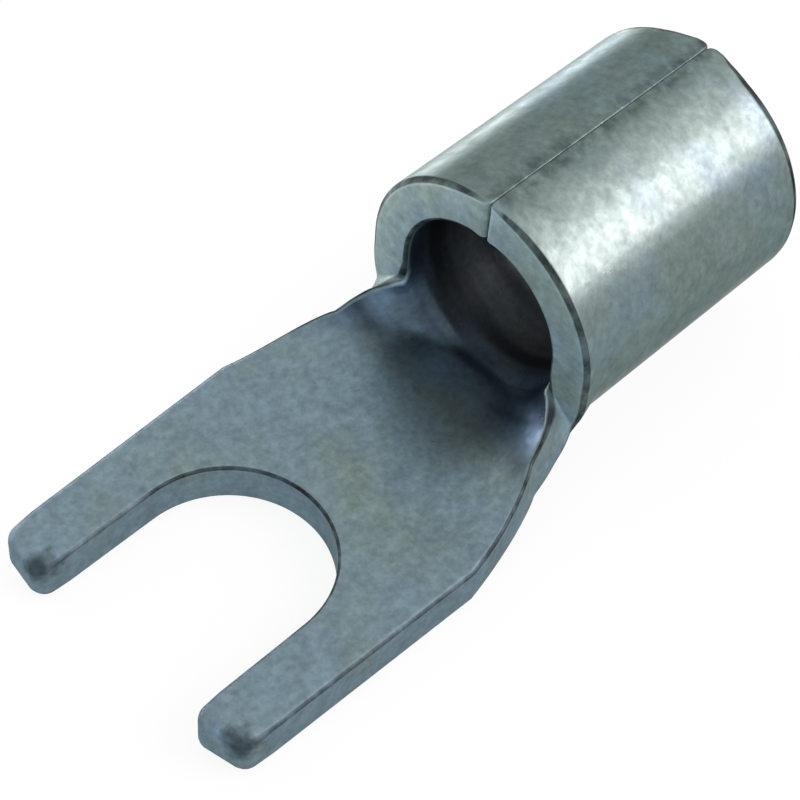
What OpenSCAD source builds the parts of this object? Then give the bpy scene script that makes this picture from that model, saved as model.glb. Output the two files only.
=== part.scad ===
// Uninsulated crimp terminal with an open fork, stamped and rolled from one piece of sheet.
// +X runs from the fork to the barrel and +Z is up. The origin is the centre of the
// slot's round end, on the underside that lies on the terminal block.

/* [Fork] */
// Width of the open slot, a loose fit round its screw
slot_w = 5.3; // [4.3:0.1:5.7]
// Width across both prongs where the slot begins
fork_w = 8.9; // [8.3:0.1:10.5]
// Width across both prong tips
tip_w = 8.5; // [7.9:0.1:9.5]
// From the centre of the slot's round end to the inner corners of the tips
prong_l = 3.65; // [2.5:0.05:7]
// How far the outer corners of the tips stay behind the inner ones
tip_skew = 0.15; // [0:0.05:0.4]
// Rounding of the tips, seen from above and from the side
tip_r = 0.35; // [0.1:0.05:0.45]

/* [Sheet] */
// Thickness of the sheet
sheet_t = 1.2; // [1:0.1:1.3]

/* [Neck] */
// From the centre of the slot's round end to the barrel's front rim
rim_x = 8.45; // [7.8:0.05:11]
// Where the fork stops being parallel and begins to narrow
shoulder_x = 3.95; // [3:0.05:4.1]
// Where the flat sheet begins to curl up at its edges
curl_x = 4.2; // [4.15:0.05:5.4]
// Where the sheet is narrowest
waist_x = 7; // [6:0.05:7.4]
// Developed width of the sheet at its narrowest
waist_w = 7.35; // [6.4:0.05:7.9]
// Flat width that is left on the floor at the front rim
floor_w = 1.6; // [0.4:0.1:2.4]
// Length over which the barrel turns round behind its front rim
throat_l = 0.6; // [0.3:0.05:1.2]
// How far the fillet between the neck's edge and the rim reaches forward
fillet_l = 0.45; // [0.2:0.05:0.7]
// How far the same fillet reaches round the barrel
fillet_h = 0.3; // [0.15:0.05:1.1]

/* [Barrel] */
// Outside diameter of the rolled barrel
barrel_od = 7.3; // [6.6:0.1:8]
// Length of the barrel behind its front rim
barrel_l = 8.3; // [5:0.1:12]
// Bevel round the outside of the wire entry
entry_bevel = 0.35; // [0.1:0.05:0.5]
// Bevel round the inside of the wire entry
lead_in = 0.2; // [0.1:0.05:0.4]
// Rounding of the two sheet edges that meet along the top
seam_r = 0.12; // [0.06:0.02:0.3]

/* [Hidden] */
// How much of its thickness a root keeps where it lies inside the piece that it joins
root_share = 0.98;
inset = sheet_t * (1 - root_share) / 2;
overrun = sheet_t;
outer_r = barrel_od / 2;
bore_r = outer_r - sheet_t;
mid_r = outer_r - sheet_t / 2;
rear_x = rim_x + barrel_l;
round_x = rim_x + throat_l;
fillet_x = rim_x - fillet_l;
// How fast the curl tightens on its way to the rim, what a last snap adds to it right in
// front of the rim, and how the outline bows
curl_power = 2;
snap_power = 20;
snap_share = 0.15;
taper_power = 0.8;
// The press sets the cut edges of the neck more upright than the sheet leans there
upright_share = 0.6;
upright_max = 28;
smooth = 96;
tin = [0.62, 0.66, 0.66];
taper_steps = 12;
fillet_steps = 7;
throat_steps = 4;
floor_cells = 32;
wall_cells = 14;
corner_steps = 6;
root_l = throat_l / throat_steps;

// Half the developed width of the sheet at x, before the fillet begins
function taper_half(x) =
    let (way = min(max((x - shoulder_x) / (waist_x - shoulder_x), 0), 1))
    (waist_w + (fork_w - waist_w) * pow(1 - way, taper_power)) / 2;

// Half of the floor that is still flat at x
function floor_half(x) =
    floor_w / 2 * min(max((round_x - x) / throat_l, 0), 1);

// How tightly the sheet's edges are curled at x, from not at all to the barrel's own curl
function curl(x) =
    let (way = min(max((x - curl_x) / (rim_x - curl_x), 0), 1))
    ((1 - snap_share) * pow(way, curl_power) + snap_share * pow(way, snap_power))
        / (mid_r - floor_half(x));

// How much wider the inside of the neck is than its middle, at an edge half a width out
function edge_slant(x, half) =
    let (turn = (half - floor_half(x)) * curl(x) * 180 / PI)
    sheet_t / 2 * tan(min(turn * upright_share, upright_max));

// A point of the sheet: s is measured along the middle of its thickness from the
// centre line, and side lies between -1, the outside, and 1, the inside. The section
// is a flat floor, a curl, an upright wall as high as the floor is wide, and a crown.
function sheet_point(x, s, side) =
    let (
        half = abs(s),
        flat = floor_half(x),
        k = curl(x),
        turn = min(max(half - flat, 0) * k * 180 / PI, 90),
        above = k > 0 ? max(half - flat - PI / 2 / k, 0) : 0,
        rise = min(above, flat),
        crown = (above - rise) / mid_r * 180 / PI,
        off = side * sheet_t / 2,
        curl_y = k > 0 ? sin(turn) / k : max(half - flat, 0),
        curl_z = k > 0 ? (1 - cos(turn)) / k : 0,
        y = min(half, flat) + curl_y - off * sin(turn) - (mid_r - off) * (1 - cos(crown)),
        z = sheet_t / 2 + off * cos(turn) + curl_z + rise + (mid_r - off) * sin(crown)
    )
    [x, s < 0 ? -y : y, z];

// Half the length of the whole ring at x, from the floor's centre line to the seam
function ring_half(x) =
    2 * floor_half(x) + (mid_r - floor_half(x)) * PI / 2 + mid_r * PI / 2;

rim_half = taper_half(fillet_x) + fillet_h;

// Half the developed width that stays the same share of the ring behind the rim
function behind_rim(x) =
    rim_half * (ring_half(x) / ring_half(rim_x));

// Places along the sheet between both edges of the neck
function neck_cells(half) =
    [for (i = [0:floor_cells]) half * (2 * i / floor_cells - 1)];

// The same round the whole ring, with the walls and the crown added on both sides
function ring_cells(x) =
    let (end = ring_half(x), edge = behind_rim(x))
    concat(
        [for (i = [0:wall_cells - 1]) -end + (end - edge) * i / wall_cells],
        neck_cells(edge),
        [for (i = [1:wall_cells - 1]) edge + (end - edge) * i / wall_cells]
    );

// Places along X where the neck's section is drawn, each with its half width and how
// much of its thickness it keeps. Its roots lie inside the fork and the barrel's wall.
neck_stations = concat(
    [for (x = [curl_x - root_l, curl_x]) [x, taper_half(curl_x) - inset, root_share]],
    [for (i = [1:taper_steps])
        let (x = curl_x + (fillet_x - curl_x) * i / taper_steps)
        [x, taper_half(x), 1]],
    [for (i = [1:fillet_steps - 1])
        let (a = 90 * i / fillet_steps)
        [fillet_x + fillet_l * sin(a), taper_half(fillet_x) + fillet_h * (1 - cos(a)), 1]],
    [for (x = [rim_x, rim_x + root_l]) [x, behind_rim(x), root_share]]
);

// A solid between an outer and an inner skin, given as rows of points. A closed one is
// a ring, and any other has an edge along the first and the last column.
module curled_sheet(outer, inner, closed = false) {
    rows = len(outer);
    cols = len(outer[0]);
    skin = rows * cols;
    last = closed ? cols - 1 : cols - 2;
    points = concat([for (row = outer) each row], [for (row = inner) each row]);
    polyhedron(points, concat(
        [for (i = [0:rows - 2], j = [0:last])
            let (a = i * cols + j, b = i * cols + (j + 1) % cols, c = a + cols, d = b + cols)
            each [[a, d, b], [a, c, d],
                [skin + a, skin + b, skin + d], [skin + a, skin + d, skin + c]]],
        [for (i = [0:rows - 2])
            if (!closed)
                let (a = i * cols, b = a + cols, c = a + cols - 1, d = c + cols)
                each [[a, skin + a, skin + b], [a, skin + b, b],
                    [c, d, skin + d], [c, skin + d, skin + c]]],
        [for (j = [0:last])
            let (a = j, b = (j + 1) % cols, c = (rows - 1) * cols + a, d = (rows - 1) * cols + b)
            each [[a, b, skin + b], [a, skin + b, skin + a],
                [c, skin + d, d], [c, skin + c, skin + d]]]
    ));
}

// Points of an arc that rounds a corner
function corner(centre, r, from, to) =
    [for (i = [0:corner_steps])
        let (a = from + (to - from) * i / corner_steps)
        centre + r * [cos(a), sin(a)]];

// One side of the fork seen from above, from the neck to the slot
function fork_side() =
    let (
        lean = atan(tip_skew / (tip_w / 2 - slot_w / 2)),
        taper = atan((fork_w - tip_w) / 2 / (shoulder_x + prong_l))
    )
    concat(
        [for (i = [0:corner_steps])
            let (x = curl_x + (shoulder_x - curl_x) * i / corner_steps)
            [x, taper_half(x)]],
        corner([tip_r - prong_l + tip_skew, tip_w / 2 - tip_r], tip_r, 90 + taper, 180 - lean),
        corner([tip_r - prong_l, slot_w / 2 + tip_r], tip_r, 180 - lean, 270),
        [[0, slot_w / 2]]
    );

module fork_outline() {
    side = fork_side();
    last = len(side) - 1;
    polygon(concat(side, [for (i = [0:last]) [side[last - i][0], -side[last - i][1]]]));
}

// Side view that rounds the top and bottom edges of the tips
module tongue_profile() {
    polygon(concat(
        [[curl_x, 0], [curl_x, sheet_t]],
        corner([tip_r - prong_l, sheet_t - tip_r], tip_r, 90, 180),
        corner([tip_r - prong_l, tip_r], tip_r, 180, 270)
    ));
}

module fork() {
    intersection() {
        difference() {
            linear_extrude(sheet_t)
                fork_outline();
            translate([0, 0, -overrun])
                cylinder(h = sheet_t + 2 * overrun, d = slot_w, $fn = smooth);
        }
        translate([0, fork_w / 2, 0])
            rotate([90, 0, 0])
                linear_extrude(fork_w)
                    tongue_profile();
    }
}

function sheet_row(x, cells, side) =
    [for (s = cells) sheet_point(x, s, side)];

// The edges of the flat sheet curl up on their way to the barrel's front rim
module neck() {
    function neck_row(st, side) =
        sheet_row(st[0], neck_cells(st[1] + side * edge_slant(st[0], st[1])), side * st[2]);
    curled_sheet(
        [for (st = neck_stations) neck_row(st, -1)],
        [for (st = neck_stations) neck_row(st, 1)]
    );
}

// Behind its front rim the barrel goes from a flat floor to a round one. The last two
// rows are its root, which lies inside the wall of the tube.
module throat() {
    rows = [for (i = [0:throat_steps - 1]) [rim_x + throat_l * i / throat_steps, 1, 0]];
    roots = [for (lap = [0, root_l]) [round_x, root_share, lap]];
    function ring_row(row, side) =
        [for (p = sheet_row(row[0], ring_cells(row[0]), side * row[1])) p + [row[2], 0, 0]];
    curled_sheet(
        [for (row = concat(rows, roots)) ring_row(row, -1)],
        [for (row = concat(rows, roots)) ring_row(row, 1)],
        closed = true
    );
}

module tube() {
    translate([round_x, 0, outer_r])
        rotate([0, 90, 0])
            rotate_extrude($fn = smooth)
                polygon([
                    [bore_r, 0],
                    [outer_r, 0],
                    [outer_r, rear_x - round_x - entry_bevel],
                    [outer_r - entry_bevel, rear_x - round_x],
                    [bore_r + lead_in, rear_x - round_x],
                    [bore_r, rear_x - round_x - lead_in]
                ]);
}

// The groove between the rounded corners of the two sheet edges that meet along the top
module seam_groove() {
    translate([rim_x - overrun, 0, barrel_od - seam_r])
        rotate([90, 0, 90])
            linear_extrude(barrel_l + 2 * overrun)
                difference() {
                    translate([-seam_r, 0])
                        square([2 * seam_r, seam_r + overrun]);
                    for (side = [-1, 1])
                        translate([side * seam_r, 0])
                            circle(r = seam_r, $fn = smooth);
                }
}

module terminal() {
    color(tin) {
        fork();
        neck();
        difference() {
            union() {
                throat();
                tube();
            }
            seam_groove();
        }
    }
}

terminal();
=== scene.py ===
import math

import bpy
from mathutils import Matrix, Vector, geometry, kdtree


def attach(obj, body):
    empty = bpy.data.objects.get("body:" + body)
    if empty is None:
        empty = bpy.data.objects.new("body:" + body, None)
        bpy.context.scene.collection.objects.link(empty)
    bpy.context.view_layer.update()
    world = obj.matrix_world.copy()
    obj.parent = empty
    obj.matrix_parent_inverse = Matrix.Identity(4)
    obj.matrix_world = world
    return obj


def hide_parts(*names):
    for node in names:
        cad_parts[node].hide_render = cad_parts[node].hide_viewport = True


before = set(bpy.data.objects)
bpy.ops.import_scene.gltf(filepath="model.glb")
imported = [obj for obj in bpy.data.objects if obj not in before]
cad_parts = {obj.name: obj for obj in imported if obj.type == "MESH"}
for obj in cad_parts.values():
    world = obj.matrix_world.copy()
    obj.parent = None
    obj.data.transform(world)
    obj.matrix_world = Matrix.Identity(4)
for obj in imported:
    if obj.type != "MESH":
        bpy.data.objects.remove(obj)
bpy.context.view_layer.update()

# The terminal, first step: the flat blank.
# One piece of copper sheet, stamped to outline in a die. The die leaves its long edges
# slightly rolled over; the tips, the rim and the wire entry are rounded more.
# Lengths are in millimetres along the middle of the sheet: x runs from the round end of
# the slot towards the wire entry, s across. The outline stays a hair inside the solid's.

MM = 0.001
SHEET = 1.2
SLOT_R = 2.65
FORK_HALF = 4.449
TIP_HALF = 4.25
TIP_X = -3.645
TIP_SKEW = 0.15
TIP_R = 0.4

# The neck: where it begins to narrow and to curl, its waist, the front rim of the barrel
# and the throat behind it, in which the flat floor turns round.
SHOULDER_X = 3.95
CURL_X = 4.2
WAIST_X = 7.0
WAIST_HALF = 3.675
RIM_X = 8.45
REAR_X = 16.749
THROAT = 0.6
FLOOR_HALF = 0.8
MIDDLE_R = 3.048

# How the outline bows, how the curl tightens and snaps shut at the rim, and how much more
# upright than the sheet the press sets the cut edges.
TAPER_POWER = 0.8
CURL_POWER = 2.0
SNAP_POWER = 20.0
SNAP_SHARE = 0.15
UPRIGHT_SHARE = 0.6
UPRIGHT_MAX = 28
UPRIGHT_FADE = 1.5
FILLET_L = 0.45
FILLET_H = 0.3
CORNER_R = 0.2
SEAM_GAP = 0.01

# The mesh: steps along the edges and across the faces, and round each kind of corner. The
# last LEAD before a sharp corner has half steps, and SUPPORT is the gap between a rounding
# and the triangles of the face.
EDGE_PITCH = 0.1
FACE_PITCH = 0.16
SLOT_STEPS = 40
TIP_STEPS = 8
SHOULDER_STEPS = 36
FILLET_STEPS = 15
CORNER_STEPS = 9
THROAT_STEPS = 4
ROUND_STEPS = 5
EASE_STEPS = 5
SUPPORT = 0.03
LEAD = 0.4
SAME_POINT = 1e-6


def neck_half(x):
    way = min(max((x - SHOULDER_X) / (WAIST_X - SHOULDER_X), 0), 1)
    return WAIST_HALF + (FORK_HALF - WAIST_HALF) * (1 - way) ** TAPER_POWER


def floor_half(x):
    return FLOOR_HALF * min(max((RIM_X + THROAT - x) / THROAT, 0), 1)


def ring_half(x):
    quarter = (MIDDLE_R - floor_half(x)) * math.pi / 2
    return 2 * floor_half(x) + quarter + MIDDLE_R * math.pi / 2 - SEAM_GAP / 2


def along(points, pitch):
    """The same line, walked in even steps."""
    out = [points[0]]
    for a, b in zip(points, points[1:]):
        steps = max(1, round(math.dist(a, b) / pitch))
        for i in range(1, steps + 1):
            out.append((a[0] + (b[0] - a[0]) * i / steps, a[1] + (b[1] - a[1]) * i / steps))
    return out


def arc(x, s, r, start, end, steps):
    turn = [math.radians(start + (end - start) * i / steps) for i in range(steps + 1)]
    return [(x + r * math.cos(a), s + r * math.sin(a)) for a in turn]


def slant(x, s):
    """How much wider a face of the sheet is than its middle, per length of its thickness.

    It is full at the neck's cut edges, and fades inwards, along the rim and behind it.
    """
    way = min(max((x - CURL_X) / (RIM_X - CURL_X), 0), 1)
    curled = (1 - SNAP_SHARE) * way**CURL_POWER + SNAP_SHARE * way**SNAP_POWER
    bend = curled / (MIDDLE_R - floor_half(x))
    if x < RIM_X - FILLET_L:
        half = neck_half(x)
    else:
        sine = min((x - RIM_X + FILLET_L) / FILLET_L, 1)
        half = neck_half(RIM_X - FILLET_L) + FILLET_H * (1 - math.sqrt(1 - sine * sine))
    lean = min((half - floor_half(x)) * bend * UPRIGHT_SHARE, math.radians(UPRIGHT_MAX))
    aside = min(max(1 - (abs(s) - half) / UPRIGHT_FADE, 0), abs(s) / half, 1)
    behind = min(max(1 - (x - RIM_X) / UPRIGHT_FADE, 0), 1)
    return math.copysign(math.tan(lean) * (aside * behind), s)


# Half of the outline, from the bottom of the slot round the prong and back to the wire
# entry. Each stretch says how far its rounding reaches in from the edge, how deep it goes
# on the inner face and on the outer face, and how much darker its rounding is. Above 1,
# the darkening spreads over more of the rounding.
tip_lean = math.degrees(math.atan(TIP_SKEW / (TIP_HALF - SLOT_R)))
side_taper = math.degrees(math.atan((FORK_HALF - TIP_HALF) / (SHOULDER_X - TIP_X)))
fillet_x = RIM_X - FILLET_L
rim_half = neck_half(fillet_x) + FILLET_H
outer_x = TIP_X + TIP_R + TIP_SKEW
inner_corner = arc(TIP_X + TIP_R, SLOT_R + TIP_R, TIP_R, 270, 180 - tip_lean, TIP_STEPS)
outer_corner = arc(outer_x, TIP_HALF - TIP_R, TIP_R, 180 - tip_lean, 90 + side_taper, TIP_STEPS)
shoulder = []
for i in range(SHOULDER_STEPS + 1):
    x = SHOULDER_X + (fillet_x - SHOULDER_X) * i / SHOULDER_STEPS
    shoulder.append((x, neck_half(x)))
fillet = []
for i in range(FILLET_STEPS + 1):
    a = math.radians(90 * i / FILLET_STEPS)
    fillet.append((fillet_x + FILLET_L * math.sin(a), neck_half(fillet_x) + FILLET_H * (1 - math.cos(a))))
corner_half = ring_half(RIM_X + CORNER_R)
rim_corner = []
for x, s in arc(RIM_X + CORNER_R, corner_half - CORNER_R, CORNER_R, 180, 90, CORNER_STEPS):
    rim_corner.append((x, min(s - (corner_half - ring_half(x)), ring_half(x))))
rear_corner = arc(REAR_X - CORNER_R, ring_half(REAR_X) - CORNER_R, CORNER_R, 90, 0, CORNER_STEPS)
seam = []
for i in range(THROAT_STEPS + 1):
    x = RIM_X + CORNER_R + (THROAT - CORNER_R) * i / THROAT_STEPS
    seam.append((x, ring_half(x)))
seam.append(rear_corner[0])
rim_end = (RIM_X, rim_corner[0][1] - LEAD)
rear_end = (REAR_X, rear_corner[-1][1] - LEAD)
stretches = [
    (arc(0, 0, SLOT_R, 0, 90, SLOT_STEPS), 0.12, 0.1, 0.14, 1.4),
    (along([(0, SLOT_R), inner_corner[0]], EDGE_PITCH), 0.14, 0.12, 0.14, 0.6),
    (along(inner_corner + outer_corner, EDGE_PITCH), 0.32, 0.32, 0.3, 0.1),
    (along([outer_corner[-1], shoulder[0]], EDGE_PITCH), 0.14, 0.12, 0.16, 0.8),
    (along(shoulder, EDGE_PITCH), 0.14, 0.12, 0.16, 1.3),
    (fillet, 0.24, 0.4, 0.22, 0.8),
    (along([fillet[-1], rim_end], EDGE_PITCH), 0.16, 0.12, 0.2, 1.6),
    (along([rim_end, rim_corner[0]], EDGE_PITCH / 2), 0.12, 0.08, 0.12, 0.8),
    (rim_corner, 0.04, 0.03, 0.05, 0.3),
    (along(seam, EDGE_PITCH), 0.03, 0.02, 0.035, 0.2),
    (rear_corner, 0.08, 0.06, 0.1, 0.5),
    (along([rear_corner[-1], rear_end], EDGE_PITCH / 2), 0.12, 0.08, 0.12, 0.8),
    (along([rear_end, (REAR_X, 0)], EDGE_PITCH), 0.34, 0.2, 0.34, 2.0),
]
half_outline = []
for points, *shape in stretches:
    for p in points:
        if half_outline and math.dist(p, half_outline[-1][0]) < SAME_POINT:
            continue
        half_outline.append((p, shape))
outline = [((x, -s), shape) for (x, s), shape in half_outline]
outline += [((x, s), shape) for (x, s), shape in half_outline[-2:0:-1]]
count = len(outline)

# The rounding eases from one stretch to the next instead of jumping.
widths = []
for i in range(count):
    nearby = [outline[(i + k) % count][1] for k in range(-EASE_STEPS, EASE_STEPS + 1)]
    widths.append([sum(shape[c] for shape in nearby) / len(nearby) for c in range(4)])

# Which way is in, seen from each point of the outline.
ahead = []
for i in range(count):
    ahead.append((Vector(outline[(i + 1) % count][0]) - Vector(outline[i][0])).normalized())
ways = []
for i in range(count):
    mean = (ahead[i - 1] + ahead[i]).normalized()
    ways.append(Vector((-mean.y, mean.x)))

# The cut face at each point, from the top face over both roundings to the underside. A
# row says how far in and how far down it lies, as shares of the rounding.
quarter_shares = []
for k in range(ROUND_STEPS + 1):
    a = math.pi / 2 * k / ROUND_STEPS
    quarter_shares.append((1 - math.sin(a), 1 - math.cos(a)))
row_shares = [(1, *row) for row in quarter_shares] + [(-1, *row) for row in quarter_shares[::-1]]
row_count = len(row_shares)
loops = []
for i in range(count):
    reach, top, bottom, _ = widths[i]
    line = []
    for side, inset, down in row_shares:
        at = Vector(outline[i][0]) + ways[i] * reach * inset
        line.append((at.x, at.y, side * (SHEET / 2 - (top if side > 0 else bottom) * down)))
    loops.append(line)

# Both faces share one triangle pattern, which starts a little inside the rounding.
ring = [Vector(outline[i][0]) + ways[i] * (widths[i][0] + SUPPORT) for i in range(count)]
ring_tree = kdtree.KDTree(count)
for i, p in enumerate(ring):
    ring_tree.insert((p.x, p.y, 0), i)
ring_tree.balance()


def inside(x, s):
    odd = False
    for i in range(count):
        a, b = ring[i - 1], ring[i]
        if (a.y > s) != (b.y > s) and x < a.x + (b.x - a.x) * (s - a.y) / (b.y - a.y):
            odd = not odd
    return odd


# No point of the pattern lies closer to its ring than CLEAR.
CLEAR = 0.6 * FACE_PITCH
WELD = 1e-7
spots = []
columns = round((REAR_X - TIP_X) / FACE_PITCH)
across = round(ring_half(REAR_X) / FACE_PITCH)
for i in range(columns + 1):
    x = REAR_X - FACE_PITCH / 2 - i * (REAR_X - TIP_X) / columns
    for j in range(-across, across + 1):
        s = j * ring_half(REAR_X) / across
        if x < RIM_X and abs(s) > rim_half:
            continue
        if ring_tree.find((x, s, 0))[2] > CLEAR and inside(x, s):
            spots.append(Vector((x, s)))
flat, _, triangles, origins, _, _ = geometry.delaunay_2d_cdt(ring + spots, [], [list(range(count))], 1, WELD)
place = {}
for new, olds in enumerate(origins):
    for old in olds:
        place[old] = new

# Three values ride on the mesh for the finish: where it is a cut edge, how much darker a
# rounding is, and how near the joint of the barrel is.
EDGE_START = 0.6
JOINT_REACH = 0.4
JOINT_FADE = 0.2
verts = [(p.x, p.y, SHEET / 2) for p in flat] + [(p.x, p.y, -SHEET / 2) for p in flat]
edge = [0.0] * len(verts)
rounding = [0.0] * len(verts)
faces = []
for tri in triangles:
    a, b, c = (flat[k] for k in tri)
    if (b - a).cross(c - a) < 0:
        tri = tri[::-1]
    faces.append(tuple(tri))
    faces.append(tuple(k + len(flat) for k in reversed(tri)))
first = len(verts)
for i, line in enumerate(loops):
    verts += line
    for k in range(row_count):
        edge.append(1.0 if 0 < k < row_count - 1 else EDGE_START)
        rounding.append(widths[i][3] if 1 < k % (ROUND_STEPS + 1) < ROUND_STEPS else 0.0)
for i in range(count):
    j = (i + 1) % count
    mine = [place[i]] + [first + i * row_count + k for k in range(row_count)] + [place[i] + len(flat)]
    ahead_of_me = [place[j]] + [first + j * row_count + k for k in range(row_count)] + [place[j] + len(flat)]
    for k in range(len(mine) - 1):
        faces.append((mine[k], mine[k + 1], ahead_of_me[k + 1], ahead_of_me[k]))

joint = []
for x, s, _ in verts:
    closeness = min(max((JOINT_REACH - ring_half(x) + abs(s)) / JOINT_FADE, 0.0), 1.0)
    joint.append(closeness if x > RIM_X + CORNER_R else 0.0)
verts = [(x, s + n * slant(x, s), n) for x, s, n in verts]
blank = bpy.data.meshes.new("terminal_skin")
blank.from_pydata([(x * MM, s * MM, n * MM) for x, s, n in verts], [], faces)
for name, values in (("edge", edge), ("rounding", rounding), ("joint", joint)):
    blank.attributes.new(name, "FLOAT", "POINT").data.foreach_set("value", values)
blank.validate()
terminal_skin = bpy.data.objects.new("terminal_skin", blank)
bpy.context.scene.collection.objects.link(terminal_skin)

# Second step: press and roll.
# A press curls both sides of the blank up behind the fork, tighter and tighter, and rolls
# the rest into a barrel whose two edges butt along the top. Lengths along the middle of
# the sheet stay as they were stamped.


def add(tree, kind, settings=None, links=None):
    """Adds one node with its settings, its fixed inputs and its links."""
    node = tree.nodes.new(kind)
    for key, value in (settings or {}).items():
        setattr(node, key, value)
    for socket, source in (links or {}).items():
        if isinstance(source, bpy.types.NodeSocket):
            tree.links.new(source, node.inputs[socket])
        else:
            node.inputs[socket].default_value = source
    return node


press = bpy.data.node_groups.new("press_and_roll", "GeometryNodeTree")
press.interface.new_socket(name="Geometry", in_out="INPUT", socket_type="NodeSocketGeometry")
press.interface.new_socket(name="Geometry", in_out="OUTPUT", socket_type="NodeSocketGeometry")
press_sizes = {
    "half sheet": SHEET / 2 * MM,
    "curl start": CURL_X * MM,
    "rim": RIM_X * MM,
    "throat": THROAT * MM,
    "half floor": FLOOR_HALF * MM,
    "middle radius": MIDDLE_R * MM,
    "curl power": CURL_POWER,
    "snap power": SNAP_POWER,
    "snap share": SNAP_SHARE,
}
for name in press_sizes:
    press.interface.new_socket(name=name, in_out="INPUT", socket_type="NodeSocketFloat")
press.interface.new_socket(name="Material", in_out="INPUT", socket_type="NodeSocketMaterial")
came_in = add(press, "NodeGroupInput")
went_out = add(press, "NodeGroupOutput")
stamped = add(press, "GeometryNodeInputPosition")
stamped_at = add(press, "ShaderNodeSeparateXYZ", links={0: stamped.outputs[0]})
known = {name: came_in.outputs[name] for name in press_sizes}
known |= {"x": stamped_at.outputs["X"], "s": stamped_at.outputs["Y"], "n": stamped_at.outputs["Z"]}

# Every line of the table is one sum: its name, its operation and its terms. The curl starts
# from a bend that is nearly flat and not quite, because the sums divide by it.
RIGHT_ANGLE = math.pi / 2
NEARLY_FLAT = 0.05
roll = [
    ("half", "ABSOLUTE", "s", None),
    ("round", "ADD", "rim", "throat"),
    ("ahead", "SUBTRACT", "round", "x"),
    ("flatness", "DIVIDE", "ahead", "throat"),
    ("flat", "MULTIPLY", "flatness", "half floor"),
    ("into", "SUBTRACT", "x", "curl start"),
    ("span", "SUBTRACT", "rim", "curl start"),
    ("way", "DIVIDE", "into", "span"),
    ("slow", "POWER", "way", "curl power"),
    ("snap", "POWER", "way", "snap power"),
    ("late", "SUBTRACT", "snap", "slow"),
    ("more", "MULTIPLY", "late", "snap share"),
    ("curled", "ADD", "slow", "more"),
    ("tight", "SUBTRACT", "middle radius", "flat"),
    ("bend", "DIVIDE", "curled", "tight"),
    ("k", "MAXIMUM", "bend", NEARLY_FLAT),
    ("off floor", "SUBTRACT", "half", "flat"),
    ("beyond", "MAXIMUM", "off floor", 0.0),
    ("swing", "MULTIPLY", "beyond", "k"),
    ("turn", "MINIMUM", "swing", RIGHT_ANGLE),
    ("quarter", "DIVIDE", RIGHT_ANGLE, "k"),
    ("past", "SUBTRACT", "beyond", "quarter"),
    ("above", "MAXIMUM", "past", 0.0),
    ("rise", "MINIMUM", "above", "flat"),
    ("over", "SUBTRACT", "above", "rise"),
    ("crown", "DIVIDE", "over", "middle radius"),
    ("sin turn", "SINE", "turn", None),
    ("cos turn", "COSINE", "turn", None),
    ("half turn", "MULTIPLY", "turn", 0.5),
    ("sin half", "SINE", "half turn", None),
    ("square", "MULTIPLY", "sin half", "sin half"),
    ("fallen", "MULTIPLY", "square", 2.0),
    ("curl y", "DIVIDE", "sin turn", "k"),
    ("curl z", "DIVIDE", "fallen", "k"),
    ("on floor", "MINIMUM", "half", "flat"),
    ("lean", "MULTIPLY", "n", "sin turn"),
    ("stand", "MULTIPLY", "n", "cos turn"),
    ("reach", "SUBTRACT", "middle radius", "n"),
    ("cos crown", "COSINE", "crown", None),
    ("sin crown", "SINE", "crown", None),
    ("closing", "SUBTRACT", 1.0, "cos crown"),
    ("crown y", "MULTIPLY", "reach", "closing"),
    ("crown z", "MULTIPLY", "reach", "sin crown"),
    ("y1", "ADD", "on floor", "curl y"),
    ("y2", "SUBTRACT", "y1", "lean"),
    ("y3", "SUBTRACT", "y2", "crown y"),
    ("sign", "SIGN", "s", None),
    ("y", "MULTIPLY", "y3", "sign"),
    ("z1", "ADD", "half sheet", "stand"),
    ("z2", "ADD", "z1", "curl z"),
    ("z3", "ADD", "z2", "rise"),
    ("z", "ADD", "z3", "crown z"),
]
for name, operation, *terms in roll:
    links = {i: known.get(term, term) for i, term in enumerate(terms) if term is not None}
    settings = {"operation": operation, "use_clamp": name in ("flatness", "way")}
    known[name] = add(press, "ShaderNodeMath", settings, links).outputs[0]
rolled = add(press, "ShaderNodeCombineXYZ", links={0: known["x"], 1: known["y"], 2: known["z"]})
kept = add(
    press,
    "GeometryNodeStoreNamedAttribute",
    {"data_type": "FLOAT_VECTOR", "domain": "POINT"},
    {"Geometry": came_in.outputs["Geometry"], "Name": "stamped", "Value": stamped.outputs[0]},
)
moved = add(
    press, "GeometryNodeSetPosition", links={"Geometry": kept.outputs[0], "Position": rolled.outputs[0]}
)
smooth = add(press, "GeometryNodeSetShadeSmooth", links={0: moved.outputs[0]})
real = add(press, "GeometryNodeRealizeInstances", links={0: smooth.outputs[0]})
coating = {"Geometry": real.outputs[0], "Material": came_in.outputs["Material"]}
plated = add(press, "GeometryNodeSetMaterial", links=coating)
press.links.new(plated.outputs[0], went_out.inputs[0])

# Third step: the finish.
# Satin electro-tinned copper, tumbled in bulk. To the eye it is a mid blue-grey metal with
# soft reflections, mottled and finely grained, and darker in the roundings of its edges.
# Its tin has a thin matt film that keeps flat faces at an even grey, hence a metallic value
# below 1. The lowered specular tint keeps grazing faces from turning white over the table.


def linear(colour):
    """An sRGB hex colour as the linear colour that a socket takes."""
    parts = [int(colour[i : i + 2], 16) / 255 for i in (1, 3, 5)]
    return tuple(c / 12.92 if c <= 0.04045 else ((c + 0.055) / 1.055) ** 2.4 for c in parts) + (1.0,)


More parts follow.
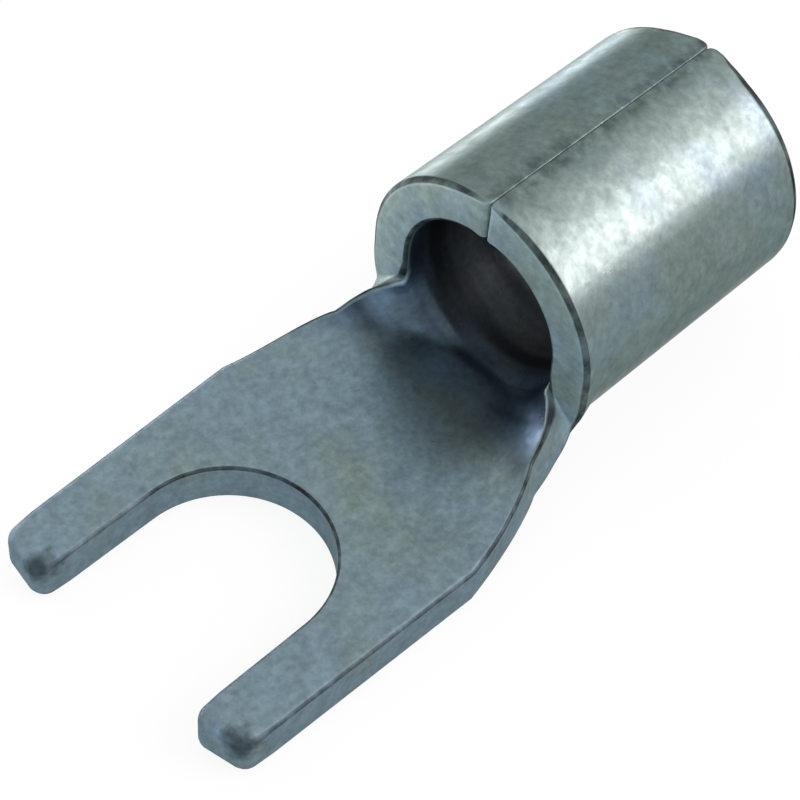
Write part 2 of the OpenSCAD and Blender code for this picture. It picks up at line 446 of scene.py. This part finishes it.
SMOOTH = {"interpolation_type": "SMOOTHSTEP"}
PLUS = {"operation": "ADD"}
MINUS = {"operation": "SUBTRACT"}
TIMES = {"operation": "MULTIPLY"}
SCALED = {"operation": "SCALE"}
COLOURS = {"data_type": "RGBA"}
tin = bpy.data.materials.new("tinned_copper_satin")
tin.use_nodes = True
coat = tin.node_tree
shader = coat.nodes["Principled BSDF"]
shader.inputs["Metallic"].default_value = 0.85
shader.inputs["Specular Tint"].default_value = linear("#AAB5B5")

# The values that ride on the mesh. Every pattern lies on the flat blank, in millimetres.
stamped_of = add(coat, "ShaderNodeAttribute", {"attribute_name": "stamped"})
edge_of = add(coat, "ShaderNodeAttribute", {"attribute_name": "edge"})
rounding_of = add(coat, "ShaderNodeAttribute", {"attribute_name": "rounding"})
joint_of = add(coat, "ShaderNodeAttribute", {"attribute_name": "joint"})
in_mm = add(coat, "ShaderNodeVectorMath", SCALED, {"Vector": stamped_of.outputs["Vector"], "Scale": 1 / MM})
blank_at = add(coat, "ShaderNodeSeparateXYZ", links={0: in_mm.outputs[0]})
aside = add(coat, "ShaderNodeMath", {"operation": "ABSOLUTE"}, {0: blank_at.outputs["Y"]})

# Clouds of 2.5 mm where the bath left the tin bluer or greener, mottling of about 0.45 mm
# from its crystals, and grain from tumbling. The real grain is a few hundredths of a
# millimetre wide. It is drawn at about 0.2 mm, as coarse as it needs to show.
clouds, mottle, grain = (
    add(coat, "ShaderNodeTexNoise", links={"Vector": in_mm.outputs[0], "Scale": per_mm, **kind})
    for per_mm, kind in (
        (0.4, {"Detail": 3.0, "Roughness": 0.6}),
        (2.2, {"Detail": 5.0, "Roughness": 0.62}),
        (5.5, {"Detail": 3.0, "Roughness": 0.6}),
    )
)

# The cast: bluer on the fork, greener on the barrel, and drifting with the clouds.
rearward = add(
    coat,
    "ShaderNodeMapRange",
    links={"Value": blank_at.outputs["X"], "From Min": 6.0, "From Max": 10.0, "To Min": -0.12, "To Max": 0.12},
)
drifted = add(coat, "ShaderNodeMath", PLUS, {0: clouds.outputs[0], 1: rearward.outputs[0]})
greener = add(
    coat, "ShaderNodeMapRange", links={"Value": drifted.outputs[0], "From Min": 0.35, "From Max": 0.65}
)
cast = add(
    coat,
    "ShaderNodeMix",
    COLOURS,
    {"Factor": greener.outputs[0], 6: linear("#6B7F88"), 7: linear("#6C7C78")},
)

# Mottling and grain as shades of that colour.
dark_spots = add(
    coat,
    "ShaderNodeMapRange",
    links={"Value": mottle.outputs[0], "From Min": 0.3, "From Max": 0.68, "To Min": 0.85, "To Max": 1.1},
)
fine_spots = add(
    coat,
    "ShaderNodeMapRange",
    links={"Value": grain.outputs[0], "From Min": 0.3, "From Max": 0.7, "To Min": 0.84, "To Max": 1.16},
)

# Pits: a few soft ones, about one in every 20 square millimetres and up to 0.3 mm wide.
cells = add(
    coat, "ShaderNodeTexVoronoi", links={"Vector": in_mm.outputs[0], "Scale": 0.8, "Randomness": 1.0}
)
cell_value = add(coat, "ShaderNodeSeparateColor", links={0: cells.outputs["Color"]})
is_pitted = add(coat, "ShaderNodeMath", {"operation": "GREATER_THAN"}, {0: cell_value.outputs[0], 1: 0.72})
in_pit = add(
    coat,
    "ShaderNodeMapRange",
    SMOOTH,
    {"Value": cells.outputs["Distance"], "From Min": 0.03, "From Max": 0.14, "To Min": 1.0, "To Max": 0.0},
)
pit = add(coat, "ShaderNodeMath", TIMES, {0: is_pitted.outputs[0], 1: in_pit.outputs[0]})
pit_shade = add(coat, "ShaderNodeMapRange", links={"Value": pit.outputs[0], "To Min": 1.0, "To Max": 0.65})

# The roundings of the edges are darker, and dirt lies beside the joint of the barrel, where
# it fades out 0.2 to 0.4 mm away. The mottling breaks up both.
edge_darkness = add(
    coat,
    "ShaderNodeMapRange",
    links={"Value": mottle.outputs[0], "From Min": 0.35, "From Max": 0.65, "To Min": 0.1, "To Max": 0.38},
)
edge_shade = add(
    coat,
    "ShaderNodeMapRange",
    links={"Value": rounding_of.outputs["Fac"], "To Min": 1.0, "To Max": edge_darkness.outputs[0]},
)
joint_grime = add(
    coat,
    "ShaderNodeMapRange",
    links={"Value": mottle.outputs[0], "From Min": 0.35, "From Max": 0.65, "To Min": 0.52, "To Max": 0.95},
)
joint_shade = add(
    coat,
    "ShaderNodeMapRange",
    SMOOTH,
    {"Value": joint_of.outputs["Fac"], "To Min": 1.0, "To Max": joint_grime.outputs[0]},
)

# Two dark smudges on the ends of the prongs, each frayed by the mottling.
SMUDGES = ((-3.45, 2.9, 0.5), (-3.4, -3.95, 0.5))
far_smudge, near_smudge = (
    add(coat, "ShaderNodeVectorMath", {"operation": "DISTANCE"}, {0: in_mm.outputs[0], 1: spot})
    for spot in SMUDGES
)
closest = add(
    coat,
    "ShaderNodeMath",
    {"operation": "MINIMUM"},
    {0: far_smudge.outputs["Value"], 1: near_smudge.outputs["Value"]},
)
frayed = add(coat, "ShaderNodeMath", TIMES, {0: closest.outputs[0], 1: mottle.outputs[0]})
tip_shade = add(
    coat,
    "ShaderNodeMapRange",
    SMOOTH,
    {"Value": frayed.outputs[0], "From Min": 0.04, "From Max": 0.3, "To Min": 0.3, "To Max": 1.0},
)

# All shades together, and the colour of the outside.
shade = dark_spots.outputs[0]
for factor in (fine_spots, tip_shade, joint_shade, edge_shade, pit_shade):
    shade = add(coat, "ShaderNodeMath", TIMES, {0: shade, 1: factor.outputs[0]}).outputs[0]
colour = add(coat, "ShaderNodeVectorMath", SCALED, {"Vector": cast.outputs[2], "Scale": shade})

# Painted light: the cut face of the rim is painted paler than the rest.
at_rim = add(
    coat,
    "ShaderNodeMapRange",
    links={"Value": blank_at.outputs["X"], "From Min": 8.2, "From Max": RIM_X, "To Min": 1.0, "To Max": 1.5},
)
rim_painted_light = add(
    coat,
    "ShaderNodeMapRange",
    links={
        "Value": edge_of.outputs["Fac"],
        "From Min": 0.9,
        "From Max": 1.0,
        "To Min": 1.0,
        "To Max": at_rim.outputs[0],
    },
)
outside = add(
    coat, "ShaderNodeVectorMath", SCALED, {"Vector": colour.outputs[0], "Scale": rim_painted_light.outputs[0]}
)

# Painted shade inside the barrel: the inner face is painted darker from the mouth back. It
# is bluish at the mouth, darkest on the walls, and browner with streaks across behind it.
# The painted shade starts sooner at the sides of the neck than in its middle.
SIDES_SOONER = 0.3
STREAK_STRETCH = (1.0, 0.12, 1.0)
sheltered = add(
    coat,
    "ShaderNodeMath",
    {"operation": "MULTIPLY_ADD"},
    {0: aside.outputs[0], 1: SIDES_SOONER, 2: blank_at.outputs["X"]},
)
in_mouth = add(
    coat, "ShaderNodeMapRange", SMOOTH, {"Value": sheltered.outputs[0], "From Min": 7.1, "From Max": 8.7}
)
is_inner = add(coat, "ShaderNodeMath", {"operation": "GREATER_THAN"}, {0: blank_at.outputs["Z"], 1: 0.0})
off_edge = add(coat, "ShaderNodeMath", {**MINUS, "use_clamp": True}, {0: 1.0, 1: edge_of.outputs["Fac"]})
inner_mouth = add(coat, "ShaderNodeMath", TIMES, {0: is_inner.outputs[0], 1: in_mouth.outputs[0]})
# Painted shade: where the inner face is darkened, away from its cut edges.
painted_shade_inside = add(coat, "ShaderNodeMath", TIMES, {0: inner_mouth.outputs[0], 1: off_edge.outputs[0]})
up_wall = add(
    coat,
    "ShaderNodeMapRange",
    SMOOTH,
    {"Value": aside.outputs[0], "From Min": 0.6, "From Max": 1.8, "To Min": 1.0, "To Max": 0.42},
)
# Painted shade at the feet of the rim, which dims the reflections on the inner walls there.
at_foot = add(
    coat,
    "ShaderNodeMapRange",
    SMOOTH,
    {
        "Value": aside.outputs[0],
        "From Min": 2.6,
        "From Max": 3.6,
        "To Min": up_wall.outputs[0],
        "To Max": 0.7,
    },
)
mouth_tint = add(
    coat, "ShaderNodeVectorMath", SCALED, {"Vector": linear("#D4DFFD")[:3], "Scale": at_foot.outputs[0]}
)
deeper = add(
    coat,
    "ShaderNodeMapRange",
    SMOOTH,
    {"Value": blank_at.outputs["X"], "From Min": 8.6, "From Max": 10.2},
)
tint = add(
    coat,
    "ShaderNodeMix",
    COLOURS,
    {"Factor": deeper.outputs[0], 6: mouth_tint.outputs[0], 7: linear("#E2CED4")},
)
tinted = add(coat, "ShaderNodeVectorMath", TIMES, {0: colour.outputs[0], 1: tint.outputs[2]})
streak_at = add(coat, "ShaderNodeVectorMath", TIMES, {0: in_mm.outputs[0], 1: STREAK_STRETCH})
streaks = add(
    coat,
    "ShaderNodeTexNoise",
    links={"Vector": streak_at.outputs[0], "Scale": 1.1, "Detail": 2.0, "Roughness": 0.5},
)
streak_shade = add(
    coat,
    "ShaderNodeMapRange",
    links={"Value": streaks.outputs[0], "From Min": 0.38, "From Max": 0.62, "To Min": 0.45, "To Max": 1.7},
)
shaded_inside_colour = add(
    coat, "ShaderNodeVectorMath", SCALED, {"Vector": tinted.outputs[0], "Scale": streak_shade.outputs[0]}
)
# The painted shade inside the barrel takes the place of the outside colour there.
with_painted_shade = add(
    coat,
    "ShaderNodeMix",
    COLOURS,
    {"Factor": painted_shade_inside.outputs[0], 6: outside.outputs[0], 7: shaded_inside_colour.outputs[0]},
)
coat.links.new(with_painted_shade.outputs[2], shader.inputs["Base Color"])

# The crystals change the gloss a little, and the cut edges are rougher than the faces.
dull = add(
    coat,
    "ShaderNodeMapRange",
    links={"Value": mottle.outputs[0], "From Min": 0.3, "From Max": 0.7, "To Min": 0.38, "To Max": 0.26},
)
rough = add(
    coat,
    "ShaderNodeMapRange",
    links={"Value": edge_of.outputs["Fac"], "To Min": dull.outputs[0], "To Max": 0.6},
)
coat.links.new(rough.outputs[0], shader.inputs["Roughness"])

# The same patterns as relief: hollows between crystals, tumbling grain and pits.
hollows = add(
    coat, "ShaderNodeBump", links={"Strength": 0.3, "Distance": 0.02 * MM, "Height": mottle.outputs[0]}
)
peened = add(
    coat,
    "ShaderNodeBump",
    links={
        "Strength": 0.4,
        "Distance": 0.006 * MM,
        "Height": grain.outputs[0],
        "Normal": hollows.outputs[0],
    },
)
pit_depth = add(coat, "ShaderNodeMath", MINUS, {0: 1.0, 1: pit.outputs[0]})
pitted = add(
    coat,
    "ShaderNodeBump",
    links={
        "Strength": 0.08,
        "Distance": 0.02 * MM,
        "Height": pit_depth.outputs[0],
        "Normal": peened.outputs[0],
    },
)
coat.links.new(pitted.outputs[0], shader.inputs["Normal"])

# The blank goes through the press with this finish, and the result becomes its mesh.
press_mod = terminal_skin.modifiers.new("press_and_roll", "NODES")
press_mod.node_group = press
for item in press.interface.items_tree:
    if item.in_out == "INPUT" and item.name in press_sizes:
        press_mod[item.identifier] = press_sizes[item.name]
    if item.in_out == "INPUT" and item.name == "Material":
        press_mod[item.identifier] = tin
depsgraph = bpy.context.evaluated_depsgraph_get()
rolled_mesh = bpy.data.meshes.new_from_object(terminal_skin.evaluated_get(depsgraph))
terminal_skin.modifiers.clear()
terminal_skin.data = rolled_mesh
rolled_mesh.name = "terminal_skin"

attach(terminal_skin, "root")
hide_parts("terminal")

# The table it lies on: a white sheet of paper, without texture, a hair below the part. It
# is nearly plain white to the camera and in reflections, as overexposed paper is.
FLOOR_SIZE = 0.6
FLOOR_DROP = 0.02
WHITE_SHARE = 0.9
floor_corners = []
for x, y in ((-1, -1), (1, -1), (1, 1), (-1, 1)):
    floor_corners.append((x * FLOOR_SIZE / 2, y * FLOOR_SIZE / 2, -FLOOR_DROP * MM))
floor_mesh = bpy.data.meshes.new("floor")
floor_mesh.from_pydata(floor_corners, [], [(0, 1, 2, 3)])
floor = bpy.data.objects.new("floor", floor_mesh)
bpy.context.scene.collection.objects.link(floor)
paper = bpy.data.materials.new("white_paper")
paper.use_nodes = True
sheet = paper.node_tree
matt = sheet.nodes["Principled BSDF"]
matt.inputs["Base Color"].default_value = linear("#D8D8D8")
matt.inputs["Roughness"].default_value = 0.9
path = add(sheet, "ShaderNodeLightPath")
seen = path.outputs["Is Camera Ray"]
for other_ray in ("Is Glossy Ray", "Is Transmission Ray"):
    both_rays = {0: seen, 1: path.outputs[other_ray]}
    seen = add(sheet, "ShaderNodeMath", {**PLUS, "use_clamp": True}, both_rays).outputs[0]
share = add(sheet, "ShaderNodeMath", TIMES, {0: seen, 1: WHITE_SHARE})
white = add(sheet, "ShaderNodeEmission", links={"Color": linear("#FFFFFF"), "Strength": 1.0})
mixed = add(
    sheet, "ShaderNodeMixShader", links={0: share.outputs[0], 1: matt.outputs[0], 2: white.outputs[0]}
)
sheet.links.new(mixed.outputs[0], sheet.nodes["Material Output"].inputs["Surface"])
floor_mesh.materials.append(paper)

# Studio light: an even, bright surround that is a little brighter overhead, as in a light
# tent. A level is a height in the ramp with its brightness.
world = bpy.data.worlds.new("light_tent")
bpy.context.scene.world = world
world.use_nodes = True
sky = world.node_tree
around = add(sky, "ShaderNodeTexCoord")
height = add(sky, "ShaderNodeSeparateXYZ", links={0: around.outputs["Generated"]})
ramp = add(sky, "ShaderNodeValToRGB", links={0: height.outputs["Z"]})
levels = [(0.0, 0.85), (0.3, 0.8), (0.6, 0.9), (0.77, 1.15), (1.0, 1.15)]
stops = ramp.color_ramp.elements
stops[0].position, stops[1].position = levels[0][0], levels[-1][0]
while len(stops) < len(levels):
    stops.new(levels[len(stops) - 1][0])
for stop, (_, level) in zip(stops, levels):
    stop.color = (level, level, level, 1)
sky.links.new(ramp.outputs[0], sky.nodes["Background"].inputs["Color"])
sky.nodes["Background"].inputs["Strength"].default_value = 1.0


def lamp(name, way, away, size, brightness, colour, aim=(12, 0, 4)):
    """A softbox seen from the terminal in one direction, at a distance in mm."""
    light = bpy.data.lights.new(name, "AREA")
    light.shape = "RECTANGLE"
    light.size, light.size_y = size[0] * MM, size[1] * MM
    light.energy = brightness * math.pi * light.size * light.size_y
    light.color = linear(colour)[:3]
    obj = bpy.data.objects.new(name, light)
    obj.location = (Vector(aim) + Vector(way).normalized() * away) * MM
    obj.rotation_mode = "QUATERNION"
    obj.rotation_quaternion = (-Vector(way)).to_track_quat("-Z", "Y")
    obj.visible_camera = False
    bpy.context.scene.collection.objects.link(obj)


# The two softboxes draw the broad bright band along the barrel and light the long cut
# edges. The card, close on the other side, draws the pale strip along the barrel's far
# edge. The bluish fill lights the rim, the tips and the round end of the slot. Left and
# right are as seen from the wire entry.
lamp("softbox_left", (0.479, -0.66, 0.6), 150, (110, 84), 7.0, "#FFE9EE")
lamp("softbox_top", (0.479, -0.28, 0.83), 150, (110, 36), 2.4, "#FFE9EE")
lamp("card_right", (0.0, 1.0, 0.0), 14, (60, 3.2), 10.0, "#FFE9EE", (20, 0, 2.1))
lamp("fill_front", (-1.0, -0.1, 0.25), 150, (100, 50), 4.5, "#D2E6FF", (8, 0, 3))

# The photographer's camera: a long lens close to the part, turned slightly.
PHOTO = 800
FOCAL_PX = 2500.0
PX_PER_MM = 41.053
ORIGIN_PX = (227.852, 584.255)
SENSOR = 36.0
AZIMUTH, ELEVATION, ROLL = (math.radians(a) for a in (40.95, 50.623, 4.539))
flat_share = math.cos(ELEVATION)
back = Vector((-math.cos(AZIMUTH) * flat_share, -math.sin(AZIMUTH) * flat_share, math.sin(ELEVATION)))
level = Vector((0, 0, 1)).cross(back).normalized()
upright = back.cross(level)
right = level * math.cos(ROLL) + upright * math.sin(ROLL)
up = upright * math.cos(ROLL) - level * math.sin(ROLL)
distance = FOCAL_PX / PX_PER_MM
shift = ((ORIGIN_PX[0] - PHOTO / 2) / PX_PER_MM, (PHOTO / 2 - ORIGIN_PX[1]) / PX_PER_MM)
stand = (back * distance - right * shift[0] - up * shift[1]) * MM
camera_data = bpy.data.cameras.new("camera")
camera_data.sensor_width = SENSOR
camera_data.lens = SENSOR * FOCAL_PX / PHOTO
camera_data.clip_start = 5 * MM
camera_data.clip_end = 2.0
camera = bpy.data.objects.new("camera", camera_data)
camera.matrix_world = Matrix.Translation(stand) @ Matrix((right, up, back)).transposed().to_4x4()
bpy.context.scene.collection.objects.link(camera)
bpy.context.scene.camera = camera
bpy.context.scene.view_settings.view_transform = "Standard"
